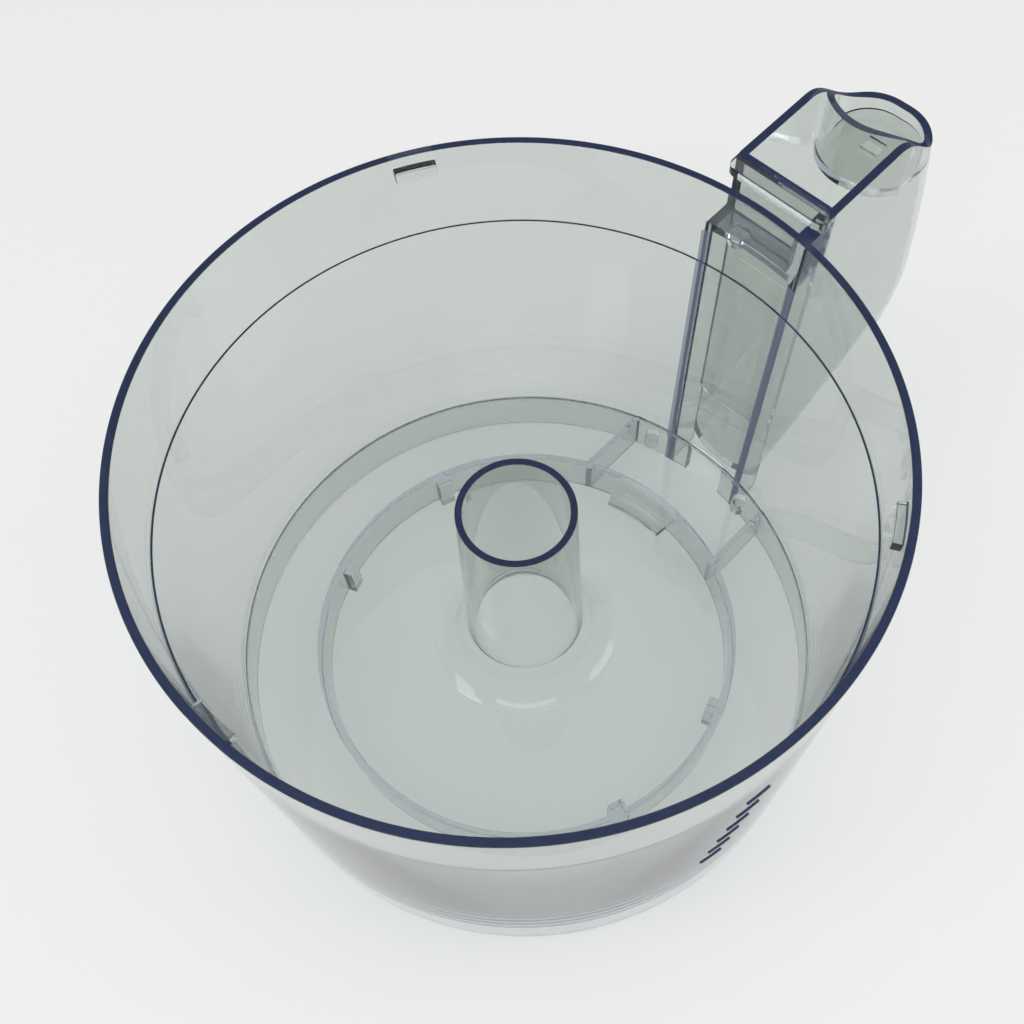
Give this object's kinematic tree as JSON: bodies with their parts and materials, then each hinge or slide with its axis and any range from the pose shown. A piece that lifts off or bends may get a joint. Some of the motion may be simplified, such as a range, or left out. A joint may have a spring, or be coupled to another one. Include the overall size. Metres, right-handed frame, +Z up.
{
  "type": "food processor work bowl",
  "caption": "Clear round work bowl with an open drive hub, lid lugs under the rim, an interlock channel, a hollow handle with a thumb cup, and a locking ring under the floor.",
  "frame": {"origin": "centre of the drive hub's lower mouth, level with the underside of the floor", "axes": "+Z up the drive axis, +X out along the handle"},
  "size_m": [0.2726, 0.19, 0.135],
  "materials": {
    "clear_bowl": "clear, glossy, faint blue at the edges",
    "marks": "dark printed ticks, slightly raised"
  },
  "bodies": {
    "root": {"bayonet_tab_1": "clear_bowl", "bayonet_tab_2": "clear_bowl", "bayonet_tab_3": "clear_bowl", "bayonet_tab_4": "clear_bowl", "bowl_floor": "clear_bowl", "bowl_wall": "clear_bowl", "channel_outer_wall": "clear_bowl", "channel_top_plate": "clear_bowl", "channel_web_left": "clear_bowl", "channel_web_right": "clear_bowl", "drive_hub": "clear_bowl", "floor_boss_1": "clear_bowl", "floor_boss_2": "clear_bowl", "floor_rib_left": "clear_bowl", "floor_rib_right": "clear_bowl", "graduation_marks": "marks", "guide_pad": "clear_bowl", "handle_back": "clear_bowl", "handle_side_left": "clear_bowl", "handle_side_right": "clear_bowl", "lid_lug_1": "clear_bowl", "lid_lug_2": "clear_bowl", "lid_lug_3": "clear_bowl", "lid_stop": "clear_bowl", "lid_tab_ledge": "clear_bowl", "locking_ring": "clear_bowl", "long_bayonet_tab": "clear_bowl", "plate_boss": "clear_bowl", "rim_band": "clear_bowl", "skirt": "clear_bowl", "thumb_cup_floor": "clear_bowl", "thumb_cup_wall": "clear_bowl"}
  },
  "joints": []
}
